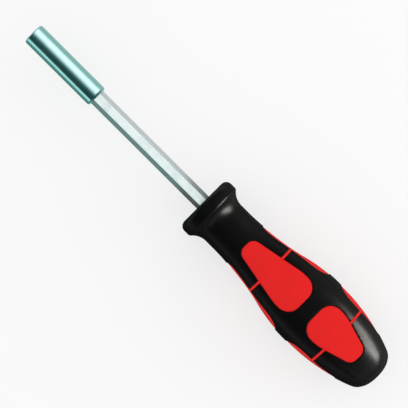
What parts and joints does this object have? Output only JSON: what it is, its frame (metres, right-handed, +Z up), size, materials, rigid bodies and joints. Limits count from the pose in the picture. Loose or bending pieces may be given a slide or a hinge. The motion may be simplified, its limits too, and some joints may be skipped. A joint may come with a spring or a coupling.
{
  "type": "bit holder screwdriver",
  "caption": "Screwdriver with a soft-pad handle, a hexagon blade and a fixed magnetic sleeve that holds quarter-inch hexagon bits.",
  "frame": {"origin": "middle of the tool's box, on the surface that it lies on", "axes": "+X along the blade towards the tip, +Z up, with one row of pads facing up"},
  "size_m": [0.207, 0.0338, 0.0337],
  "materials": {
    "polished_sleeve": "polished stainless steel",
    "satin_blade": "satin chromed tool steel",
    "spring_wire": "spring wire",
    "plated_magnet": "nickel plated",
    "core_plastic": "moulded, hidden",
    "black_plastic": "satin moulded hard plastic",
    "red_soft_grip": "matte soft moulded grip"
  },
  "bodies": {
    "tool": {"bit_sleeve": "polished_sleeve", "bit_magnet": "plated_magnet", "blade_shaft": "satin_blade", "handle_core": "core_plastic", "handle_body": "black_plastic", "front_pad_1": "red_soft_grip", "front_pad_2": "red_soft_grip", "front_pad_3": "red_soft_grip", "front_pad_4": "red_soft_grip", "rear_pad_1": "red_soft_grip", "rear_pad_2": "red_soft_grip", "rear_pad_3": "red_soft_grip", "rear_pad_4": "red_soft_grip", "front_rib_1": "red_soft_grip", "front_rib_2": "red_soft_grip", "front_rib_3": "red_soft_grip", "front_rib_4": "red_soft_grip", "rear_rib_1": "red_soft_grip", "rear_rib_2": "red_soft_grip", "rear_rib_3": "red_soft_grip", "rear_rib_4": "red_soft_grip"},
    "retaining_ring": {"bit_retaining_ring": "spring_wire"}
  },
  "joints": [
    {"name": "ring_turn", "type": "hinge", "parent": "tool", "child": "retaining_ring", "pos_m": [0.099, 0, 0.01685], "axis": [1, 0, 0], "continuous": true}
  ]
}
